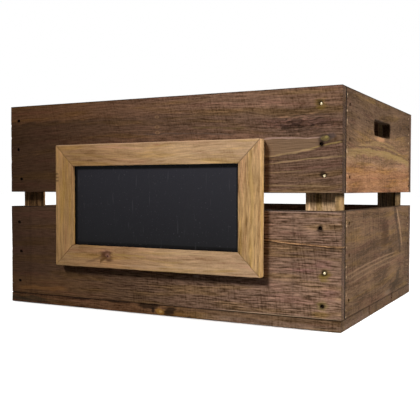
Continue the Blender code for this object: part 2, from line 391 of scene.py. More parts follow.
def smooth(mesh):
    """Shade the mesh smooth, except where its faces meet at more than 35 degrees."""
    mesh.shade_smooth()
    mesh.set_sharp_from_angle(angle=radians(35))
    return mesh


def fastener_matrix(head, outward, lean=(0, 0)):
    """Turns +Z outward at the head's place, leaning a little about two axes, in degrees."""
    facing = Vector(outward).to_track_quat("Z", "Y").to_matrix().to_4x4()
    about_x, about_y = (Matrix.Rotation(radians(angle), 4, axis) for angle, axis in zip(lean, "XY"))
    return Matrix.Translation(head) @ facing @ (about_x @ about_y)


def head_of(node, outward):
    """Middle of a fastener's head, from its node's box."""
    low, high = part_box(node)
    head = (low + high) / 2
    for axis in range(3):
        if outward[axis]:
            head[axis] = high[axis] if outward[axis] > 0 else low[axis]
    return head


# ---------------------------------------------------------------- boards

class Board:
    """A sawn board in a node's box: its points, and how far each is worn below its full size."""

    # Where a board's points lie closer together up its height, as (low, high, step).
    FINE_LINES = {"front_lower_plank": (0.0955, 0.1055, 0.00035),
                  "front_upper_plank": (0.2270, 0.2600, 0.00080)}

    def __init__(self, node, seed, arris=0.0006, pitch=BOARD_PITCH):
        self.node = node
        self.low, self.high = corners_of(node)
        self.uneven = Unevenness(seed)
        self.arris = arris
        self.grain = int(np.argmax(self.high - self.low))
        self.thin = int(np.argmin(self.high - self.low))
        self.wide = 3 - self.grain - self.thin
        lines = [lattice_lines(low, high, pitch, arris) for low, high in zip(self.low, self.high)]
        if node in self.FINE_LINES:
            low, high, step = self.FINE_LINES[node]
            kept = lines[2][(lines[2] < low - step / 2) | (lines[2] > high + step / 2)]
            lines[2] = np.sort(np.concatenate((kept, np.arange(low, high, step))))
        self.points, self.faces = lattice_shell(lines)
        self.depth = self.sawn_relief() + self.damage()
        self.radius = self.worn_radius()

    def cells(self, along, across):
        """A cell's size on each axis: long with the grain, and the same both ways across it."""
        cell = np.full(3, across)
        cell[self.grain] = along
        return cell

    def noise(self, along, across):
        return self.uneven(self.points, self.cells(along, across))

    def worn_radius(self):
        """How round each stretch of arris is: a soft edge with a few small chips."""
        soft = self.arris * (1 + 0.45 * self.noise(0.030, 0.020))
        chips = 0.0016 * rise(self.noise(0.008, 0.006), 0.68, 0.98)
        return np.clip(soft + chips, 0.0003, 0.0030)

    def sawn_relief(self):
        """Depth of what the sawmill left: a slow wave, the saw's strokes and raised grain."""
        wave = 0.00006 * (1 + self.noise(0.12, 0.045))
        fibres = 0.00004 * (1 + self.noise(0.020, 0.0022))
        slanted = self.points.copy()
        slanted[:, self.grain] += 0.10 * self.points[:, self.wide]
        strokes = self.uneven(slanted, self.cells(0.0042, 0.09))
        strokes = 0.00004 * (1 + strokes) * (1 + self.noise(0.10, 0.04)) / 2
        return wave + fibres + strokes

    def damage(self):
        """Extra depth on the front: a split, torn grain, and a waney edge under the front."""
        x, y, z = self.points.T
        front = rise(-y, -self.low[1] - 0.0030, -self.low[1] - 0.0005)
        if self.node == "front_lower_plank":
            share = (x - 0.130) / 0.122
            line = 0.1050 - 0.0072 * share + 0.0005 * self.noise(0.012, 0.020)
            wide = 0.00040 + 0.00015 * self.noise(0.020, 0.030)
            return front * 0.0009 * np.exp(-((z - line) / wide) ** 2) * rise(share, 0.0, 0.2)
        if self.node == "front_upper_plank":
            place = np.hypot((x - 0.200) / 0.060, (z - 0.2430) / 0.0150)
            ripple = 1 + self.uneven(self.points + (0, 0, 0.1), (0.011, 0.05, 0.0030))
            return front * 0.00022 * ripple * rise(place, 1.0, 0.6)
        if self.node == "front_base_board":
            place = np.hypot((x + 0.010) / 0.028, (z - 0.0120) / 0.0075)
            return front * 0.0012 * rise(place + 0.2 * self.noise(0.008, 0.004), 1.0, 0.3)
        return 0.0

    def mesh(self):
        radius = self.radius[:, None]
        core = np.clip(self.points, self.low + radius, self.high - radius)
        normals = self.points - core
        normals /= np.linalg.norm(normals, axis=1, keepdims=True)
        shaped = core + normals * (radius - self.depth[:, None])
        return make_mesh(self.node, shaped, self.faces)


# ---------------------------------------------------------------- materials

def srgb(red, green, blue):
    """A colour given as 0 to 255 screen values, in Blender's linear numbers."""
    def linear(value):
        share = value / 255
        return share / 12.92 if share <= 0.04045 else ((share + 0.055) / 1.055) ** 2.4
    return (linear(red), linear(green), linear(blue), 1.0)


def plug(tree, socket, value):
    """Link a field or a socket to the input, or set the input to a plain value."""
    if isinstance(value, Field):
        tree.links.new(value.socket, socket)
    elif isinstance(value, bpy.types.NodeSocket):
        tree.links.new(value, socket)
    else:
        socket.default_value = value


class Field:
    """A number that varies over a surface. Arithmetic on it adds Math nodes."""

    def __init__(self, tree, socket):
        self.tree = tree
        self.socket = socket

    def math(self, operation, *values):
        node = self.tree.nodes.new("ShaderNodeMath")
        node.operation = operation
        for socket, value in zip(node.inputs, (self, *values)):
            plug(self.tree, socket, value)
        return Field(self.tree, node.outputs[0])

    def __add__(self, value):
        return self.math("ADD", value)

    def __sub__(self, value):
        return self.math("SUBTRACT", value)

    def __mul__(self, value):
        return self.math("MULTIPLY", value)

    def __pow__(self, power):
        return self.math("POWER", power)

    def __rsub__(self, value):
        return self * -1 + value

    def __abs__(self):
        return self.math("ABSOLUTE")

    __radd__ = __add__
    __rmul__ = __mul__

    def rise(self, low, high):
        """0 at low and 1 at high, with a smooth step between them. High may be the lower one."""
        node = self.tree.nodes.new("ShaderNodeMapRange")
        node.interpolation_type = "SMOOTHSTEP"
        for socket, value in zip(node.inputs, (self, low, high, 0.0, 1.0)):
            plug(self.tree, socket, value)
        return Field(self.tree, node.outputs[0])


def length(first, second):
    """The length of a line whose two parts are these fields."""
    return (first * first + second * second) ** 0.5


class Look:
    """A procedural material under construction. Its fields are in metres on the crate."""

    def __init__(self, name, axes="XZY", seed=0):
        self.material = bpy.data.materials.new(name)
        self.material.use_nodes = True
        self.tree = self.material.node_tree
        self.shader = self.tree.nodes["Principled BSDF"]
        place = self.split(self.tree.nodes.new("ShaderNodeTexCoord").outputs["Object"])
        facing = self.split(self.tree.nodes.new("ShaderNodeNewGeometry").outputs["Normal"])
        self.along, self.across, self.deep = (place["XYZ".index(axis)] for axis in axes)
        self.layer = self.across
        self.end_grain = abs(facing["XYZ".index(axes[0])]).rise(0.55, 0.85)
        self.seed = seed
        self.colour = None

    def split(self, vector):
        node = self.tree.nodes.new("ShaderNodeSeparateXYZ")
        self.tree.links.new(vector, node.inputs[0])
        return [Field(self.tree, output) for output in node.outputs]

    def vector(self, x, y, z):
        node = self.tree.nodes.new("ShaderNodeCombineXYZ")
        for socket, value in zip(node.inputs, (x, y, z)):
            plug(self.tree, socket, value)
        return node.outputs[0]

    def noise(self, long, wide, detail=2.0, roughness=0.5, shift=0.0, distortion=0.0):
        """Noise in cells of that size with the grain and across it: -4 to 4, most of it -1 to 1."""
        along = (self.along + (self.seed * 1.7 + shift)) * (1 / long)
        across = (self.layer + (self.seed * 0.9 + shift)) * (1 / wide)
        deep = self.deep * (1 / wide)
        node = self.tree.nodes.new("ShaderNodeTexNoise")
        self.tree.links.new(self.vector(along, across, deep), node.inputs["Vector"])
        node.inputs["Scale"].default_value = 1.0
        node.inputs["Detail"].default_value = detail
        node.inputs["Roughness"].default_value = roughness
        node.inputs["Distortion"].default_value = distortion
        return Field(self.tree, node.outputs[0]) * 8 - 4

    def ramp(self, field, *stops):
        """Colours by a field's value, as (value, colour) pairs."""
        node = self.tree.nodes.new("ShaderNodeValToRGB")
        elements = node.color_ramp.elements
        for element, (position, colour) in zip(elements, (stops[0], stops[-1])):
            element.position = position
            element.color = colour
        for position, colour in stops[1:-1]:
            elements.new(position).color = colour
        self.tree.links.new(field.socket, node.inputs[0])
        return node.outputs[0]

    def mix(self, share, first, second, blend="MIX"):
        node = self.tree.nodes.new("ShaderNodeMix")
        node.data_type = "RGBA"
        node.blend_type = blend
        plug(self.tree, node.inputs[0], share)
        plug(self.tree, node.inputs[6], first)
        plug(self.tree, node.inputs[7], second)
        return node.outputs[2]

    def tint(self, share, colour):
        """Lay a colour over what is there, by a field from 0 to 1."""
        self.colour = self.mix(share, self.colour, colour)

    def shade(self, share, red, green=None, blue=None):
        """Multiply the colour by one number, or by one for each channel, by a field from 0 to 1."""
        green, blue = (red, red) if green is None else (green, blue)
        self.colour = self.mix(share, self.colour, (red, green, blue, 1.0), "MULTIPLY")

    def brighten(self, field):
        """Multiply the colour by a field."""
        node = self.tree.nodes.new("ShaderNodeVectorMath")
        node.operation = "SCALE"
        self.tree.links.new(self.colour, node.inputs[0])
        plug(self.tree, node.inputs["Scale"], field)
        self.colour = node.outputs[0]

    def finish(self, roughness, height, relief, **constants):
        tree = self.tree
        plug(tree, self.shader.inputs["Base Color"], self.colour)
        plug(tree, self.shader.inputs["Roughness"], roughness)
        for name, value in constants.items():
            label = name.replace("_", " ").title().replace("Ior", "IOR")
            self.shader.inputs[label].default_value = value
        bump = tree.nodes.new("ShaderNodeBump")
        bump.inputs["Strength"].default_value = 1.0
        bump.inputs["Distance"].default_value = relief
        plug(tree, bump.inputs["Height"], height)
        tree.links.new(bump.outputs[0], self.shader.inputs["Normal"])
        return self.material


class Wood(Look):
    """Sawn timber: stain, growth rings round a pith line, layers, fibres, knots and saw marks.

    The pith lies at (across, deep) from the board's middle, and one ring is that wide. Tilt leans
    the pith and wander bends the layers. Rings, layers, fibres, fine, grit, clouds, saw, hues and
    scores are strengths, and calm is how much of them the low end of the board loses.
    """

    def __init__(self, node, axes, seed, stain, pith=(0.06, 0.03), ring=0.0034, tilt=0.02,
                 rings=0.12, wander=0.004, layers=0.10, fibres=0.12, fine=0.26, grit=0.12,
                 clouds=0.08, saw=0.15, hues=1.0, scores=0.25, calm=0.0, knots=()):
        super().__init__(node, axes, seed)
        low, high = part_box(node)
        centre = (low + high) / 2
        half = (high - low) / 2
        self.half = [half["XYZ".index(axis)] for axis in axes]
        self.middle = [centre["XYZ".index(axis)] for axis in axes]
        drift = self.noise(0.24, 0.10, detail=1, shift=1.3)
        self.ragged = self.noise(0.020, 0.005, detail=3, shift=3.1)
        bent, self.knots = self.bend_round(knots)
        self.layer = self.across + bent + drift * wander
        ring_across = self.layer - (self.middle[1] + pith[0])
        ring_deep = self.deep - (self.middle[2] + pith[1]) + (self.along - self.middle[0]) * tilt
        phase = (length(ring_across, ring_deep) * (1 / ring) + self.ragged * 0.05).math("FRACT")
        shown = self.noise(0.13, 0.026, shift=6.1).rise(-0.9, 1.1)
        self.late = phase.rise(0.30, 0.88) * phase.rise(1.0, 0.93) * shown
        self.layers = self.noise(0.30, 0.0065, detail=3, roughness=0.55, shift=0.3)
        self.fibre = self.noise(0.050, 0.0030, detail=2)
        self.fine = self.noise(0.016, 0.0016, detail=1, shift=0.7)
        gritty = self.noise(0.0026, 0.0022, detail=1, shift=3.9)
        cloudy = self.noise(0.080, 0.026, detail=2, shift=2.2)
        self.saw = self.strokes() * self.noise(0.05, 0.04, shift=5.5).rise(-0.9, 0.7)
        tone = (self.layers * layers + self.fibre * fibres + self.fine * fine + cloudy * clouds
                + gritty * grit - self.late * (rings * 2) - self.saw * (saw * 2)
                + (1 + rings * 0.5))
        share = (self.along - (self.middle[0] - self.half[0])) * (0.5 / self.half[0])
        if calm:
            tone = (tone - 1) * (share.rise(0.65, 0.05) * -calm + 1) + 1
        self.colour = self.ramp(share, *stain)
        self.brighten(tone.math("MAXIMUM", 0.3))
        self.shade(tone.rise(1.0, 0.55), 1.04, 0.96, 0.84)
        marks = self.noise(0.075, 0.0024, detail=1, shift=7.7)
        self.shade(marks.rise(0.75, 1.5) * scores, 0.45)
        self.shade(marks.rise(-0.9, -1.6) * scores, 1.5, 1.45, 1.4)
        hue = self.noise(0.12, 0.011, detail=3, shift=4.4)
        self.shade(hue.rise(0.1, 1.4) * (0.8 * hues), 1.04, 1.03, 0.80)
        self.shade(hue.rise(-0.3, -1.5) * (0.8 * hues), 1.03, 0.95, 1.00)

    def strokes(self):
        """Thin lines across the grain, slightly curved, where the saw chattered."""
        line = self.along + self.across * 0.10 + self.across * self.across * 0.30
        node = self.tree.nodes.new("ShaderNodeTexNoise")
        node.noise_dimensions = "1D"
        plug(self.tree, node.inputs["W"], (line + self.seed) * (1 / 0.0027))
        node.inputs["Scale"].default_value = 1.0
        node.inputs["Detail"].default_value = 2.0
        return Field(self.tree, node.outputs[0]).rise(0.42, 0.70)

    def bend_round(self, knots):
        """How far the layers bend round each knot, and each knot's distance field."""
        bent = self.across * 0
        parts = []
        for along, across, size in knots:
            away_along = (self.along - along) * 0.6
            away_across = self.across - across
            distance = length(away_along, away_across)
            near = (distance * (1 / (5 * size))).rise(1.0, 0.1)
            side = away_across.rise(-size, size) * 2 - 1
            bent = bent + near * side * (-0.8 * size)
            parts.append((distance, size))
        return bent, parts

    def knot(self, index, heart, ring, strength=1.0):
        """Colour a knot: a dark ring round a heart with its own fine rings."""
        distance, size = self.knots[index]
        distance = distance * (self.ragged * 0.08 + 1)
        self.tint(distance.rise(size * 1.7, size * 0.95) * (0.75 * strength), ring)
        waves = (distance * (1 / 0.0004)).math("SINE") * 0.2 + 0.8
        self.tint(distance.rise(size * 1.0, size * 0.7) * waves * strength, heart)

    def window(self, field, low, high, soft):
        """1 between two values of a field, with soft and ragged edges."""
        field = field + self.ragged * (soft * 0.4)
        return field.rise(low - soft, low + soft) * field.rise(high + soft, high - soft)

    def line(self, start, end, bow=0.0):
        """How far across each place lies from a line, which may bow, between two points."""
        share = (self.along - start[0]) * (1 / (end[0] - start[0]))
        line = share * (end[1] - start[1]) + start[1]
        if bow:
            line = line + share * (1 - share) * (4 * bow)
        return self.across - line, share

    def streak(self, start, end, width, colour, strength, bow=0.0, ragged=1.0):
        """A streak of colour from one (along, across) point to another."""
        off, share = self.line(start, end, bow)
        body = abs(off * (1 / width) + self.ragged * (0.30 * ragged)).rise(1.0, 0.2)
        self.tint(body * share.rise(-0.1, 0.1) * share.rise(1.1, 0.9) * strength, colour)

    def patch(self, along, across, long, wide, ragged=1.0):
        """A soft ellipse: 1 in its middle and 0 outside."""
        distance = length((self.along - along) * (1 / long), (self.across - across) * (1 / wide))
        return (distance + self.ragged * (0.12 * ragged)).rise(1.0, 0.35)

    def upright_patch(self, along, height, long, high):
        """A soft ellipse on a board's narrow edge."""
        distance = length((self.along - along) * (1 / long), (self.deep - height) * (1 / high))
        return (distance + self.ragged * 0.22).rise(1.0, 0.5)

    def spot(self, along, across, long, wide, colour, strength, ragged=1.0):
        """A soft ellipse of colour."""
        self.tint(self.patch(along, across, long, wide, ragged) * strength, colour)

    def round_nail(self, node, colour, reach, strength, shift=(0.0, 0.0)):
        """Colour the wood round a nail. Light colours are stain; the near-black ring is stain and
        painted shadow in the nail's pit.
        """
        low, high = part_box(node)
        centre = (low + high) / 2
        self.spot(centre[0] + shift[0], centre[2] + shift[1], reach, reach * 0.9, colour, strength,
                  1.6)

    def top_edge(self, side, width, by):
        """Darken the upper (+1) or lower (-1) edge and its worn arris."""
        gap = (self.across - self.middle[1]) * -side + (self.half[1] + self.ragged * (width * 0.2))
        self.shade(gap.rise(width, width * 0.5), by)

    def board_ends(self, width, by):
        """Darken the board's two ends."""
        gap = self.half[0] - abs(self.along - self.middle[0]) + self.ragged * (width * 0.2)
        self.shade(gap.rise(width, width * 0.4), by)

    def splinters(self, gap, width, strength=0.7):
        """Broken pale fibres beside an edge or a joint, given the distance from it."""
        broken = self.noise(0.007, 0.0050, detail=2, shift=9.1).rise(0.45, 1.3)
        near = gap.rise(width, width * 0.3) * gap.rise(0.0002, 0.0008)
        self.tint(near * broken * strength, CREAM)

    def complete(self, gloss=0.78, relief=0.00030, ends=0.75):
        self.shade(self.end_grain, ends)
        roughness = self.fibre * 0.03 - self.late * 0.06 + gloss
        height = (self.fibre * 0.30 + self.fine * 0.22 + self.layers * 0.12 + self.late * 0.35
                  - self.saw * 0.45)
        return self.finish(roughness, height, relief, specular_ior_level=0.04)


# Stain colours. The black one is also painted shadow in the nail pits.
BLACK_STAIN_AND_SHADE = srgb(30, 20, 13)
UMBER = srgb(62, 44, 33)
OLIVE = srgb(106, 88, 50)
STRAW = srgb(176, 146, 104)
CREAM = srgb(206, 176, 142)
ORANGE = srgb(172, 118, 68)
SLATE = srgb(84, 76, 72)
UPPER_STAIN = ((0.0, srgb(76, 53, 37)), (0.20, srgb(84, 60, 43)), (0.45, srgb(95, 70, 54)),
               (0.75, srgb(106, 81, 65)), (1.0, srgb(106, 81, 65)))
LOWER_STAIN = ((0.0, srgb(84, 60, 45)), (0.20, srgb(92, 67, 50)), (0.45, srgb(102, 77, 59)),
               (0.75, srgb(121, 94, 77)), (1.0, srgb(127, 100, 82)))
END_UPPER_STAIN = ((0.0, srgb(102, 78, 57)), (1.0, srgb(96, 73, 52)))
END_LOWER_STAIN = ((0.0, srgb(103, 79, 58)), (1.0, srgb(92, 70, 50)))
PLAIN_STAIN = ((0.0, srgb(102, 76, 59)), (0.5, srgb(110, 84, 66)), (1.0, srgb(104, 79, 62)))
BASE_STAIN = ((0.0, srgb(98, 68, 48)), (0.5, srgb(108, 76, 52)), (0.7, srgb(110, 84, 62)),
              (1.0, srgb(112, 86, 64)))
POST_STAIN = ((0.0, srgb(114, 90, 60)), (1.0, srgb(122, 98, 68)))


def front_upper_look():
    wood = Wood("front_upper_plank", "XZY", 1, UPPER_STAIN, pith=(0.09, 0.025), tilt=0.02,
                layers=0.08, fine=0.22, saw=0.10, hues=1.3, scores=0.12, calm=0.45,
                knots=((0.2295, 0.2245, 0.0035), (0.0010, 0.2590, 0.0014), (0.0015, 0.2460, 0.0016),
                       (0.0020, 0.2385, 0.0016)))
    wood.shade(wood.window(wood.across, 0.2615, 0.300, 0.0030), 1.32, 1.28, 1.24)
    wood.shade(wood.along.rise(-0.04, -0.16) * wood.window(wood.across, 0.2605, 0.300, 0.0035),
               1.38, 1.32, 1.22)
    wood.shade(wood.patch(0.205, 0.2795, 0.065, 0.0040), 1.02, 1.04, 0.84)
    torn = wood.noise(0.015, 0.0038, detail=2, distortion=1.2, shift=8.0)
    rough = wood.patch(0.200, 0.2430, 0.062, 0.0150)
    wood.shade(rough, 0.88, 0.88, 0.92)
    wood.shade(torn.rise(0.1, 1.1) * rough, 0.42)
    wood.shade(torn.rise(-0.2, -1.2) * rough, 1.7, 1.6, 1.6)
    band = wood.line((0.150, 0.2040), (0.222, 0.2135))[0].rise(-0.0010, 0.0008)
    band = band * wood.line((0.150, 0.2262), (0.222, 0.2255))[0].rise(0.0008, -0.0008)
    wood.tint(band * wood.along.rise(0.226, 0.216) * wood.along.rise(0.13, 0.15) * 0.85,
              srgb(129, 102, 78))
    wood.streak((0.150, 0.2262), (0.224, 0.2255), 0.0014, srgb(190, 156, 140), 0.62, ragged=1.6)
    wood.streak((0.150, 0.2040), (0.215, 0.2125), 0.0018, STRAW, 0.62, bow=-0.0005, ragged=1.2)
    wood.streak((0.212, 0.2130), (0.248, 0.2200), 0.0012, srgb(168, 142, 84), 0.60, bow=0.0006)
    wood.streak((0.150, 0.2015), (0.218, 0.2105), 0.0016, srgb(72, 54, 42), 0.45, bow=-0.0005)
    wood.streak((0.150, 0.1945), (0.250, 0.2035), 0.0014, STRAW, 0.50, bow=0.001)
    wood.streak((0.150, 0.1840), (0.200, 0.1875), 0.0009, STRAW, 0.30)
    wood.streak((0.150, 0.1700), (0.235, 0.1690), 0.0012, STRAW, 0.35)
    wood.streak((0.150, 0.1622), (0.246, 0.1622), 0.0008, STRAW, 0.45)
    wood.streak((0.055, 0.2430), (0.130, 0.2400), 0.0022, OLIVE, 0.35)
    wood.streak((-0.020, 0.2375), (0.110, 0.2330), 0.0016, SLATE, 0.30, bow=0.001)
    wood.spot(0.237, 0.2270, 0.0080, 0.0045, srgb(62, 58, 66), 0.45)
    wood.knot(0, srgb(132, 114, 66), srgb(62, 55, 48), 0.62)
    wood.spot(0.2310, 0.2260, 0.0028, 0.0022, srgb(168, 148, 84), 0.60)
    wood.round_nail("front_nail_right_1", srgb(128, 102, 40), 0.0098, 0.60)
    # Dark rings round the nails: stain, and painted shadow in the pits, set up and to the left
    # where the lamp's shadow falls.
    wood.round_nail("front_nail_right_1", BLACK_STAIN_AND_SHADE, 0.0062, 0.70, (-0.0010, 0.0010))
    wood.round_nail("front_nail_right_2", BLACK_STAIN_AND_SHADE, 0.0056, 0.80)
    wood.round_nail("front_nail_right_3", BLACK_STAIN_AND_SHADE, 0.0062, 0.85, (-0.0012, 0.0010))
    for index in (1, 2, 3):
        wood.knot(index, UMBER, srgb(170, 130, 92), 0.55)
    wood.shade(wood.window(wood.along, -0.1490, -0.1460, 0.0012), 0.90)
    return front_finish(wood)


def front_lower_look():
    wood = Wood("front_lower_plank", "XZY", 2, LOWER_STAIN, pith=(0.20, 0.015), ring=0.0031,
                tilt=0.006, rings=0.24, wander=0.0015, layers=0.07, fibres=0.07, fine=0.38,
                saw=0.18, hues=1.2, scores=0.10, calm=0.65)
    wood.shade(wood.along.rise(-0.02, -0.20) * wood.window(wood.across, 0.010, 0.040, 0.008),
               1.45, 1.40, 1.10)
    wood.shade(wood.window(wood.across, 0.082, 0.0985, 0.004), 0.88, 0.87, 0.86)
    wood.shade(wood.along.rise(0.08, 0.20) * wood.window(wood.across, 0.014, 0.056, 0.010), 1.20)
    wood.shade(wood.window(wood.along, 0.1895, 0.1925, 0.0012), 0.82)
    wood.shade(wood.window(wood.along, -0.2160, -0.2120, 0.0014), 0.86)
    # The split: the dark line below it is painted shadow under the step, and the pale line above it
    # is a painted highlight on the raised edge.
    wood.streak((0.120, 0.1046), (0.262, 0.0966), 0.0016, srgb(58, 40, 28), 0.75, bow=-0.0006)
    wood.streak((0.120, 0.1064), (0.262, 0.0979), 0.0013, srgb(192, 148, 106), 0.85, bow=-0.0006)
    wood.streak((-0.236, 0.0215), (-0.150, 0.0240), 0.0040, ORANGE, 0.30)
    wood.shade(wood.patch(0.239, 0.0960, 0.0060, 0.0060), 0.55)
    for along, height, long, high in ((0.228, 0.078, 0.016, 0.008), (0.236, 0.045, 0.014, 0.012),
                                      (0.205, 0.070, 0.020, 0.003)):
        wood.shade(wood.patch(along, height, long, high), 1.02, 0.94, 1.03)
    wood.shade(wood.patch(0.224, 0.0190, 0.016, 0.0050), 1.08, 1.08, 0.70)
    wood.streak((0.100, 0.0146), (0.250, 0.0146), 0.0008, CREAM, 0.55)
    wood.streak((0.148, 0.1385), (0.248, 0.1385), 0.0008, srgb(176, 150, 136), 0.45)
    # Dark rings round the nails: stain, and painted shadow in the pits, set to the left where the
    # lamp's shadow falls.
    wood.round_nail("front_nail_right_4", BLACK_STAIN_AND_SHADE, 0.0056, 0.80)
    wood.round_nail("front_nail_right_5", srgb(132, 108, 44), 0.0100, 0.65, (0.0, -0.0030))
    wood.round_nail("front_nail_right_5", BLACK_STAIN_AND_SHADE, 0.0062, 0.85, (-0.0008, 0.0))
    wood.round_nail("front_nail_right_6", srgb(132, 114, 62), 0.0096, 0.55)
    wood.round_nail("front_nail_right_6", BLACK_STAIN_AND_SHADE, 0.0052, 0.75)
    wood.spot(0.119, 0.0505, 0.0050, 0.0022, UMBER, 0.60)
    wood.spot(0.060, 0.0545, 0.0070, 0.0020, srgb(150, 134, 118), 0.50)
    return front_finish(wood)


def front_finish(wood):
    """What the front planks share: dark arrises, and a dark joint with the end planks."""
    wood.top_edge(1, 0.0014, 0.30)
    wood.top_edge(-1, 0.0008, 0.60)
    to_joint = (wood.deep - (wood.middle[2] + wood.half[2])) * -1
    wood.shade(wood.end_grain * to_joint.rise(0.0020, 0.0010), 0.10)
    wood.splinters(to_joint + (1 - wood.end_grain) * 0.1, 0.0050, 0.3)
    return wood.complete(ends=0.33)


def end_upper_look():
    wood = Wood("right_end_upper_plank", "YZX", 5, END_UPPER_STAIN, pith=(0.05, 0.03), ring=0.0050,
                tilt=0.03, rings=0.06, layers=0.14, fibres=0.08, fine=0.14, clouds=0.16, saw=0.26,
                hues=1.5, scores=0.04)
    wood.shade(wood.across.rise(0.2280, 0.2520), 0.62, 0.63, 0.68)
    wood.shade(wood.across.rise(0.2330, 0.1950), 1.29, 1.29, 1.36)
    wood.shade(wood.across.rise(0.2030, 0.1860), 1.25, 1.07, 0.92)
    wood.shade(wood.patch(-0.150, 0.2300, 0.050, 0.0190), 0.78)
    for start, end, width, bow, strength in (
            ((-0.170, 0.2060), (0.175, 0.2040), 0.0060, 0.0080, 0.45),
            ((-0.160, 0.2120), (0.165, 0.2080), 0.0024, 0.0060, 0.50),
            ((-0.120, 0.2190), (0.120, 0.2160), 0.0020, 0.0070, 0.35),
            ((-0.060, 0.2250), (0.070, 0.2250), 0.0020, 0.0040, 0.35)):
        wood.streak(start, end, width, srgb(136, 112, 70), strength, bow=bow)
        wood.streak((start[0], start[1] + 0.0035), (end[0], end[1] + 0.0035), 0.0014,
                    srgb(66, 50, 34), strength, bow=bow)
    wood.spot(-0.012, 0.2330, 0.034, 0.0042, srgb(164, 122, 88), 0.75)
    wood.shade(wood.patch(-0.060, 0.2800, 0.030, 0.0050), 1.20, 1.20, 0.90)
    wood.top_edge(1, 0.0018, 0.40)
    wood.top_edge(-1, 0.0010, 0.75)
    return end_finish(wood)


def end_lower_look():
    wood = Wood("right_end_lower_plank", "YZX", 6, END_LOWER_STAIN, pith=(-0.10, 0.03), ring=0.0055,
                tilt=0.03, rings=0.05, layers=0.14, fibres=0.08, fine=0.14, clouds=0.22, saw=0.30,
                hues=1.6, scores=0.04)
    wood.shade(1.0, 0.80)
    wood.shade(wood.window(wood.across, 0.071, 0.098, 0.008), 0.74, 0.72, 0.70)
    wood.shade(wood.patch(0.022, 0.1040, 0.030, 0.0260), 0.50, 0.44, 0.40)
    wood.streak((0.074, 0.1370), (0.114, 0.0740), 0.0150, srgb(48, 35, 25), 0.75, bow=0.006)
    wood.streak((0.114, 0.0480), (0.058, 0.0140), 0.0110, srgb(50, 37, 24), 0.70, bow=-0.003)
    wood.streak((0.090, 0.1350), (0.128, 0.0760), 0.0080, srgb(142, 114, 88), 0.65, bow=0.006)
    for height, strength in ((0.0690, 0.55), (0.0635, 0.45), (0.0570, 0.40)):
        wood.streak((-0.150, height - 0.004), (0.080, height + 0.004), 0.0018,
                    srgb(130, 104, 80), strength, bow=0.002)
    wood.spot(0.035, 0.0190, 0.022, 0.0060, srgb(112, 96, 80), 0.40)
    wood.shade(wood.patch(0.100, 0.0230, 0.050, 0.0090), 0.74, 0.72, 0.62)
    wood.top_edge(1, 0.0014, 0.55)
    wood.top_edge(-1, 0.0012, 0.45)
    return end_finish(wood)


def end_finish(wood):
    """What the end planks share: dark joints with the front and back planks, and splinters."""
    wood.board_ends(0.0024, 0.10)
    to_joint = wood.half[0] - abs(wood.along - wood.middle[0])
    wood.splinters(to_joint - 0.0024, 0.0065, 0.55)
    return wood.complete()


def plain_plank_look(node):
    axes, seed, knots = PLAIN_PLANKS[node]
    wood = Wood(node, axes, seed, PLAIN_STAIN, pith=(0.05, 0.03), tilt=0.03, rings=0.20,
                knots=knots)
    for index in range(len(knots)):
        wood.knot(index, srgb(94, 62, 40), srgb(52, 35, 25), 0.85)
    wood.top_edge(1, 0.0014, 0.40)
    wood.top_edge(-1, 0.0008, 0.60)
    return wood.complete(ends=0.50)


def base_board_look(node, seed):
    wood = Wood(node, "XYZ", seed, BASE_STAIN, pith=(0.0, 0.035), ring=0.0040, tilt=0.03, hues=1.4)
    if node == "front_base_board":
        for along, height, long, high, colour, strength in (
                (-0.014, 0.0105, 0.026, 0.0048, srgb(44, 31, 20), 0.85),
                (0.022, 0.0070, 0.012, 0.0065, srgb(40, 28, 18), 0.85),
                (0.005, 0.0060, 0.0075, 0.0052, srgb(146, 104, 50), 0.90),
                (0.0065, 0.0052, 0.0030, 0.0020, srgb(190, 152, 96), 0.70),
                (-0.005, 0.0050, 0.0035, 0.0050, BLACK_STAIN_AND_SHADE, 0.85),
                (0.033, 0.0040, 0.0090, 0.0040, srgb(128, 90, 48), 0.60),
                (-0.120, 0.0125, 0.030, 0.0020, BLACK_STAIN_AND_SHADE, 0.70),
                (-0.060, 0.0125, 0.022, 0.0018, BLACK_STAIN_AND_SHADE, 0.70),
                (-0.215, 0.0060, 0.045, 0.0060, srgb(62, 56, 44), 0.55)):
            wood.tint(wood.upright_patch(along, height, long, high) * strength, colour)
        wood.shade(wood.along.rise(0.05, 0.08) * wood.deep.rise(0.0080, 0.0060), 1.36, 1.46, 1.70)
    wood.shade(wood.deep.rise(0.0120, 0.0133), 0.45)
    # Painted shade: darker along the very bottom, a contact shadow where the board meets the floor.
    wood.shade(wood.deep.rise(0.0013, 0.0004), 0.60)
    return wood.complete(ends=0.48)


def post_look(node, seed):
    wood = Wood(node, "ZXY", seed, POST_STAIN, pith=(0.03, 0.03), ring=0.0036, rings=0.25,
                layers=0.30, fibres=0.30, fine=0.30, clouds=0.05, hues=1.3)
    if "left" in node:
        wood.shade(1.0, 0.98, 0.86, 0.80)
    # Painted shade: the whole post is darkened, standing for the shade inside the crate.
    if node == "back_right_post":
        wood.shade(1.0, 0.56)
    if node == "front_right_post":
        to_front = wood.deep - (wood.middle[2] - wood.half[2])
        # Painted light: the whole post is lightened, and its front face much more, standing for
        # light that reaches it through the slot.
        wood.shade(1.0, 1.25)
        wood.shade(to_front.rise(0.0016, 0.0006), 1.80, 1.90, 2.30)
    return wood.complete(ends=0.8)


FRAME_RAIL = ((0.0, srgb(160, 122, 84)), (0.30, srgb(170, 132, 94)), (0.62, srgb(183, 148, 110)),
              (1.0, srgb(180, 147, 114)))
FRAME_BOTTOM = ((0.0, srgb(168, 132, 92)), (0.30, srgb(168, 128, 90)), (0.62, srgb(178, 144, 108)),
                (1.0, srgb(176, 143, 110)))
FRAME_LEFT = ((0.0, srgb(170, 132, 88)), (0.6, srgb(178, 138, 90)), (1.0, srgb(174, 132, 88)))
FRAME_RIGHT = ((0.0, srgb(170, 136, 94)), (0.5, srgb(178, 142, 97)), (1.0, srgb(172, 138, 98)))


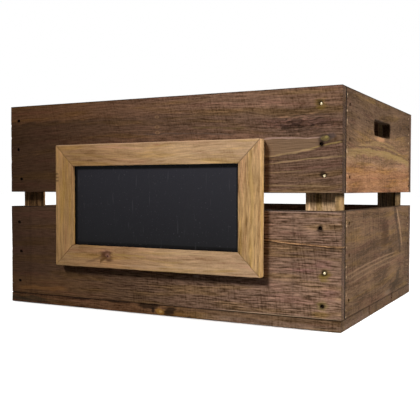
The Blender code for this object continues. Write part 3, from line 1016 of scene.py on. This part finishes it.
def frame_look(node, axes, seed, stain, knots=()):
    fine = 0.20 if node == "frame_right_stile" else 0.10
    wood = Wood(node, axes, seed, stain, pith=(0.006, 0.030), ring=0.0030, tilt=0.05, rings=0.10,
                layers=0.11, fibres=0.07, fine=fine, grit=0.04, clouds=0.09, saw=0.03, hues=1.5,
                scores=0.04, knots=knots)
    pink = srgb(196, 150, 124)
    if node == "frame_top_rail":
        wood.streak((-0.085, 0.2220), (-0.015, 0.2165), 0.0016, pink, 0.45, bow=0.001)
        wood.streak((-0.130, 0.2120), (-0.040, 0.2070), 0.0030, srgb(176, 140, 84), 0.30)
        wood.spot(0.0085, 0.2220, 0.0100, 0.0025, srgb(150, 92, 70), 0.45)
        wood.streak((-0.030, 0.2020), (0.060, 0.2140), 0.0012, srgb(150, 116, 78), 0.35)
        wood.streak((0.000, 0.2010), (0.100, 0.2150), 0.0010, srgb(206, 176, 136), 0.35)
        # Painted highlight: a pale line along the top rail's upper arris, where light from above
        # catches it.
        wood.tint(wood.across.rise(0.2235, 0.2255) * 0.45, srgb(222, 182, 146))
    if node == "frame_bottom_rail":
        wood.streak((-0.105, 0.0660), (-0.072, 0.0770), 0.0030, srgb(112, 82, 62), 0.55, bow=-0.002)
        wood.streak((-0.060, 0.0790), (-0.010, 0.0770), 0.0026, srgb(176, 144, 74), 0.45)
        wood.spot(-0.0705, 0.0815, 0.0100, 0.0042, srgb(210, 156, 126), 0.60)
        wood.streak((-0.0685, 0.0765), (-0.0810, 0.0680), 0.0040, srgb(98, 68, 38), 0.85)
        for along, across, long, wide, colour in (
                (-0.0695, 0.0772, 0.0125, 0.0110, srgb(84, 52, 34)),
                (-0.0680, 0.0756, 0.0062, 0.0050, srgb(150, 108, 88)),
                (-0.0688, 0.0750, 0.0028, 0.0024, srgb(62, 40, 36))):
            wood.spot(along, across, long, wide, colour, 0.90, 1.8)
        wood.streak((0.000, 0.0840), (0.110, 0.0830), 0.0012, srgb(208, 176, 132), 0.40)
        wood.streak((-0.050, 0.0640), (0.110, 0.0665), 0.0014, srgb(200, 168, 136), 0.35)
    if node == "frame_left_stile":
        for height in (0.1765, 0.1810, 0.1860):
            wood.spot(height, -0.1555, 0.0022, 0.0055, srgb(84, 64, 44), 0.75)
        wood.streak((0.100, -0.1360), (0.200, -0.1390), 0.0022, srgb(160, 122, 78), 0.35)
    if node == "frame_right_stile":
        wood.streak((0.080, 0.1440), (0.200, 0.1410), 0.0024, srgb(192, 158, 108), 0.40)
        wood.streak((0.090, 0.1330), (0.190, 0.1350), 0.0020, srgb(150, 116, 74), 0.40)
    return wood.complete(gloss=0.66, relief=0.00012, ends=0.5)


def chalkboard_look():
    look = Look("chalkboard", "XZY", 5)
    smudge = look.noise(0.030, 0.050, detail=4, roughness=0.6)
    specks = look.noise(0.0020, 0.0018, detail=1, shift=2.0)
    look.colour = look.ramp(look.across * (1 / 0.12) - 0.68, (0.0, srgb(20, 20, 22)),
                            (1.0, srgb(41, 40, 46)))
    # Besides the smudges, painted light: the board grows brighter towards the right, where the
    # front lamp is stronger.
    look.brighten(smudge * 0.05 + look.along * 0.7 + 1)
    low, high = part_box("chalkboard_panel")
    # Painted shade: a black margin round the board, where the frame's lip shades it.
    for field, axis in ((look.along, 0), (look.across, 2)):
        gap = (high[axis] - low[axis]) / 2 - abs(field - (high[axis] + low[axis]) / 2)
        look.shade(gap.rise(0.0132, 0.0112), 0.05)
    look.tint(specks.rise(1.4, 2.4) * 0.35, srgb(96, 95, 98))
    scuffs = look.noise(0.0030, 0.0300, detail=3, shift=5.0)
    look.tint(scuffs.rise(1.1, 2.4) * 0.12, srgb(120, 120, 124))
    roughness = smudge * 0.04 + 0.70
    return look.finish(roughness, specks * 0.2 + smudge * 0.3, 0.00006, specular_ior_level=0.12)


def metal_look(name, tones, metallic, roughness, seed, sheen=0.5):
    look = Look(name, "XYZ", seed)
    mottle = look.noise(0.0012, 0.0012, detail=3)
    look.colour = look.ramp(mottle * 0.2 + 0.5, (0.2, tones[0]), (0.8, tones[1]))
    return look.finish(mottle * 0.05 + roughness, mottle, 0.00001, metallic=metallic,
                       specular_ior_level=sheen)


# ---------------------------------------------------------------- the crate

def build_boards(looks, cutters):
    seeds = {name: seed for seed, name in enumerate(sorted(looks), start=11)}
    for node, material in looks.items():
        mesh = cut(Board(node, seeds[node]).mesh(), cutters[node])
        add_piece(f"{node}_sawn", smooth(mesh), material, slot_of(node), node)


def build_post(node, material, cutters):
    """A square batten sawn corner to corner, with its square corner in the crate's."""
    low, high = corners_of(node)
    x_sign = 1 if low[0] > 0 else -1
    y_sign = 1 if low[1] > 0 else -1
    corner = np.array((high[0] if x_sign > 0 else low[0], high[1] if y_sign > 0 else low[1]))
    leg = high[0] - low[0]
    section = [(0, 0), (leg, 0), (leg, POST_TOE), (POST_TOE, leg), (0, leg)]
    section = [corner - np.array((x * x_sign, y * y_sign)) for x, y in section]
    outline = rounded_outline(section, POST_ROUND, POST_PITCH)
    normals = outline_normals(outline)
    uneven = Unevenness(int(3 + x_sign + 3 * y_sign + 40))
    count = round((high[2] - low[2]) / POST_PITCH)
    rings = []
    for step in range(count + 1):
        z = low[2] + (high[2] - low[2]) * step / count
        points = np.column_stack((outline, np.full(len(outline), z)))
        depth = 0.00015 * (1 + uneven(points, (0.004, 0.004, 0.05)))
        depth += 0.00007 * (1 + uneven(points, (0.05, 0.05, 0.0035)))
        depth += 0.0005 if step in (0, count) else 0.0
        points[:, :2] -= normals * depth[:, None]
        rings.append(points)
    mesh = cut(loft(node, rings), cutters)
    add_piece(f"{node}_sawn", smooth(mesh), material, "post", node)


def moulding_section():
    """The moulding's section as (inset from the outer edge, depth in front of the wall)."""
    low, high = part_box("frame_top_rail")
    front = high[1] - low[1] + CLEARANCE
    lip_back = front - LIP_THICKNESS
    shoulder = MOULDING_WIDTH - REBATE_WIDTH
    return [(0, CLEARANCE), (0, front), (MOULDING_WIDTH, front), (MOULDING_WIDTH, lip_back),
            (shoulder, lip_back), (shoulder, CLEARANCE)]


def build_moulding(node, turned, seed, material, cutters):
    """A mitred length of moulding, its outer edge up before it is turned about Y."""
    low, high = corners_of(node)
    top_low, top_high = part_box("frame_top_rail")
    bottom_low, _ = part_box("frame_bottom_rail")
    upright = abs(sin(turned)) > 0.5
    reach = top_high[2] - bottom_low[2] if upright else high[0] - low[0] + 2 * CLEARANCE
    outline = rounded_outline(moulding_section(), MOULDING_ROUND, MOULDING_PITCH)
    normals = outline_normals(outline)
    uneven = Unevenness(seed)
    count = round(reach / MOULDING_PITCH)
    rings = []
    for step in range(count + 1):
        share = step / count * 2 - 1
        inset, depth = outline[:, 0], outline[:, 1]
        along = share * (reach / 2 - inset - CLEARANCE)
        points = np.column_stack((along, -depth, -inset))
        worn = 0.00007 * (1 + uneven(points, (0.02, 0.002, 0.002)))
        worn += 0.00010 * (1 + uneven(points, (0.06, 0.02, 0.02)))
        worn += 0.0003 if step in (0, count) else 0.0
        moved = outline + normals * -worn[:, None]
        rings.append(np.column_stack((along, -moved[:, 1], -moved[:, 0])))
    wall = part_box("front_upper_plank")[0][1]
    centre = (top_low + top_high) / 2
    middle_z = (top_high[2] + bottom_low[2]) / 2
    half_length = (top_high[0] - top_low[0]) / 2 + CLEARANCE
    half_height = (top_high[2] - bottom_low[2]) / 2
    offset = {0: (0, half_height), 1: (half_length, 0), 2: (0, -half_height), 3: (-half_length, 0)}
    x, z = offset[round(turned / (pi / 2)) % 4]
    place = Matrix.Translation((centre[0] + x, wall, middle_z + z))
    mesh = loft(node, rings)
    mesh.transform(place @ Matrix.Rotation(turned, 4, "Y"))
    if cutters:
        mesh = cut(mesh, cutters)
    add_piece(f"{node}_planed", smooth(mesh), material, "frame", node)


def hand_hole_cutter(node):
    """A rounded slot that widens towards both faces of the plank."""
    low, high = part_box(node)
    z = high[2] - HAND_HOLE_BELOW_RIM
    eased = HAND_HOLE_EASED
    stations = []
    for step in range(6):
        angle = pi / 2 * step / 5
        stations.append((low[0] + eased * (1 - sin(angle)), eased * (1 - cos(angle))))
    stations = [(low[0] - 0.0006, eased)] + stations[::-1]
    mirrored = [(low[0] + high[0] - x, grown) for x, grown in reversed(stations)]
    rings = []
    for x, grown in stations + mirrored:
        half_width = HAND_HOLE_WIDTH / 2 + grown
        half_height = HAND_HOLE_HEIGHT / 2 + grown
        radius = HAND_HOLE_RADIUS + grown
        ring = []
        for quarter in range(4):
            y_sign = (1, -1, -1, 1)[quarter]
            z_sign = (1, 1, -1, -1)[quarter]
            for step in range(9):
                angle = pi / 2 * (quarter + step / 8)
                ring.append((x, y_sign * (half_width - radius) + radius * cos(angle),
                             z + z_sign * (half_height - radius) + radius * sin(angle)))
        rings.append(np.array(ring))
    return loft("hand_hole", rings)


def surroundings():
    """White to the camera, and an even weak light on everything else."""
    world = bpy.data.worlds.new("studio")
    bpy.context.scene.world = world
    world.use_nodes = True
    tree = world.node_tree
    background = tree.nodes["Background"]
    background.inputs["Color"].default_value = (1, 1, 1, 1)
    path = tree.nodes.new("ShaderNodeLightPath")
    strength = tree.nodes.new("ShaderNodeMapRange")
    strength.inputs["To Min"].default_value = AMBIENT
    strength.inputs["To Max"].default_value = 1.0
    tree.links.new(path.outputs["Is Camera Ray"], strength.inputs["Value"])
    tree.links.new(strength.outputs[0], background.inputs["Strength"])


def lamps():
    """One strong lamp on the front, and soft ones round the crate."""
    front = aimed_light("front", "SPOT", (-0.85, -2.10, 2.00), (0.33, -0.19, 0.13), 800)
    front.shadow_soft_size = 0.50
    front.spot_size = radians(20.5)
    front.spot_blend = 1.0
    light_only("front", pieces_named("front_", "frame_", "chalkboard"))
    for name, place, target, width, power in SOFT_LAMPS:
        aimed_light(name, "AREA", place, target, power).size = width
    light_only("grazing", pieces_named("frame_"))


def pale_floor():
    """A pale floor with a sun of its own. The frame throws no shadow on it."""
    mesh = bpy.data.meshes.new("floor")
    reach = 12.0
    corners = [(-reach, -reach, 0), (reach, -reach, 0), (reach, reach, 0), (-reach, reach, 0)]
    mesh.from_pydata(corners, [], [(0, 1, 2, 3)])
    floor = bpy.data.objects.new("floor", mesh)
    bpy.context.scene.collection.objects.link(floor)
    floor.visible_diffuse = False
    look = Look("floor", "XYZ", 9)
    look.colour = look.ramp(look.noise(0.4, 0.4) * 0.2 + 0.5, (0.0, srgb(245, 245, 245)),
                            (1.0, srgb(249, 249, 248)))
    mesh.materials.append(look.finish(0.9, look.noise(0.01, 0.01), 0.00002))

    sun = bpy.data.lights.new("overhead", "SUN")
    sun.energy = 3.9
    sun.angle = radians(6)
    lamp = bpy.data.objects.new("overhead", sun)
    bpy.context.scene.collection.objects.link(lamp)
    light_only("overhead", [floor])
    casting = bpy.data.collections.new("overhead_casting")
    on_front = pieces_named("frame_", "chalkboard")
    for piece in bpy.data.objects:
        if piece.type == "MESH" and piece not in on_front:
            casting.objects.link(piece)
    lamp.light_linking.blocker_collection = casting


def studio():
    scene = bpy.context.scene
    scene.view_settings.view_transform = "Standard"
    surroundings()
    lamps()
    pale_floor()
    camera = bpy.data.cameras.new("camera")
    camera.lens = CAMERA_LENS
    camera.sensor_width = 36
    camera.clip_start = 0.01
    viewpoint = bpy.data.objects.new("camera", camera)
    viewpoint.location = CAMERA_PLACE
    viewpoint.rotation_euler = [radians(angle) for angle in CAMERA_TURN]
    scene.collection.objects.link(viewpoint)
    scene.camera = viewpoint


def pieces_named(*beginnings):
    """The pieces and nodes whose names begin in one of those ways."""
    return [piece for piece in bpy.data.objects if piece.name.startswith(beginnings)]


def light_only(lamp_name, things):
    """Let a lamp light these things and nothing else."""
    lit = bpy.data.collections.new(f"{lamp_name}_lit")
    for thing in things:
        lit.objects.link(thing)
    bpy.data.objects[lamp_name].light_linking.receiver_collection = lit


def aimed_light(name, kind, place, target, power):
    light = bpy.data.lights.new(name, kind)
    light.energy = power
    lamp = bpy.data.objects.new(name, light)
    lamp.location = place
    lamp.rotation_mode = "QUATERNION"
    lamp.rotation_quaternion = (Vector(target) - Vector(place)).to_track_quat("-Z", "Y")
    bpy.context.scene.collection.objects.link(lamp)
    return light


def nail_places():
    """Every nail as (name, head's place, outward, the node it replaces or None)."""
    places = []

    def nodes(name, outward):
        places.append((name, head_of(name, outward), outward, name))

    for wall, outward in (("front", (0, -1, 0)), ("back", (0, 1, 0))):
        for side in ("left", "right"):
            for number in range(1, 7):
                nodes(f"{wall}_nail_{side}_{number}", outward)
    for row in ("front", "middle", "back"):
        for side in ("left", "right"):
            for number in (1, 2):
                nodes(f"base_nail_{row}_{side}_{number}", (0, 0, -1))
    low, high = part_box("front_upper_plank")
    for side, sign, nails in (("right", 1, RIGHT_END_NAILS), ("left", -1, LEFT_END_NAILS)):
        for number, (inset, height) in enumerate(nails, start=1):
            head = Vector((sign * (high[0] - NAIL_SUNK), low[1] + inset, height))
            places.append((f"{side}_end_nail_{number}", head, (sign, 0, 0), None))
    return places


def fasteners():
    """Add every nail and screw, and return their holes as (head's place, outward, mesh)."""
    bare, stained = ((smooth(turned_mesh("nail", nail_profile(*head))),
                      turned_mesh("nail_hole", nail_hole_profile(*head)))
                     for head in (BARE_HEAD, STAINED_HEAD))
    # Bare heads: pale metal whose light colour is partly a painted highlight.
    bright = metal_look("bright_nail", (srgb(226, 196, 130), srgb(255, 244, 214)), 0.25, 0.35, 21)
    dull = metal_look("dull_nail", (srgb(10, 6, 4), srgb(34, 20, 12)), 0.0, 0.85, 22, 0.05)
    holes = []
    random = np.random.default_rng(7)
    for name, head, outward, node in nail_places():
        matrix = fastener_matrix(head, outward, random.uniform(-NAIL_LEAN, NAIL_LEAN, 2))
        nail, hole = bare if name in BARE_NAILS else stained
        metal = bright if name in BARE_NAILS else dull
        add_piece(f"{name}_wire", placed(nail, matrix), metal, "nail", *([node] if node else []))
        holes.append((head, outward, placed(hole, matrix)))

    screw = smooth(cut(turned_mesh("screw", screw_profile()), cross_recess()))
    zinc = metal_look("zinc_screw", (srgb(120, 116, 100), srgb(190, 186, 168)), 1.0, 0.35, 23)
    screw_hole = turned_mesh("screw_hole", screw_hole_profile())
    outward = (0, 1, 0)
    for rail in ("top", "bottom"):
        for side in ("left", "right"):
            name = f"frame_screw_{rail}_{side}"
            head = head_of(name, outward)
            matrix = fastener_matrix(head, outward)
            turn = Matrix.Rotation(random.uniform(0, pi / 2), 4, "Z")
            add_piece(f"{name}_driven", placed(screw, matrix @ turn), zinc, "screw", name)
            holes.append((head, outward, placed(screw_hole, matrix)))
    return holes


def holes_near(node, holes):
    """The holes that reach into a node's box, joined in one cutter, in a list for cut()."""
    low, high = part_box(node)
    margin = 0.004
    found = []
    for head, outward, mesh in holes:
        tip = head - Vector(outward) * NAIL_LENGTH
        if all(min(head[axis], tip[axis]) - margin < high[axis]
               and max(head[axis], tip[axis]) + margin > low[axis] for axis in range(3)):
            found.append(mesh)
    return [joined("holes", found)] if found else []


def build():
    holes = fasteners()
    looks = {"front_upper_plank": front_upper_look(),
             "front_lower_plank": front_lower_look(),
             "back_upper_plank": plain_plank_look("back_upper_plank"),
             "back_lower_plank": plain_plank_look("back_lower_plank"),
             "right_end_upper_plank": end_upper_look(),
             "right_end_lower_plank": end_lower_look(),
             "left_end_upper_plank": plain_plank_look("left_end_upper_plank"),
             "left_end_lower_plank": plain_plank_look("left_end_lower_plank")}
    for seed, row in enumerate(("front", "middle", "back"), start=10):
        looks[f"{row}_base_board"] = base_board_look(f"{row}_base_board", seed)
    cutters = {}
    for node in looks:
        cutters[node] = holes_near(node, holes)
        if node.endswith("end_upper_plank"):
            cutters[node].append(hand_hole_cutter(node))
    build_boards(looks, cutters)
    posts = ("front_left_post", "front_right_post", "back_left_post", "back_right_post")
    for seed, node in enumerate(posts, start=14):
        build_post(node, post_look(node, seed), holes_near(node, holes))
    mouldings = (("frame_top_rail", 0, "XZY", FRAME_RAIL, ()),
                 ("frame_right_stile", pi / 2, "ZXY", FRAME_RIGHT, ()),
                 ("frame_bottom_rail", pi, "XZY", FRAME_BOTTOM, ((-0.0695, 0.0765, 0.0030),)),
                 ("frame_left_stile", -pi / 2, "ZXY", FRAME_LEFT, ()))
    for index, (node, turned, axes, stain, knots) in enumerate(mouldings):
        tools = holes_near(node, holes) if "rail" in node else []
        look = frame_look(node, axes, 18 + index, stain, knots)
        build_moulding(node, turned, 60 + index, look, tools)
    panel = Board("chalkboard_panel", 70, arris=0.0004, pitch=0.003)
    panel.depth = panel.depth * 0.3
    add_piece("chalkboard_slate", smooth(panel.mesh()), chalkboard_look(), "chalkboard",
              "chalkboard_panel")
    studio()


build()
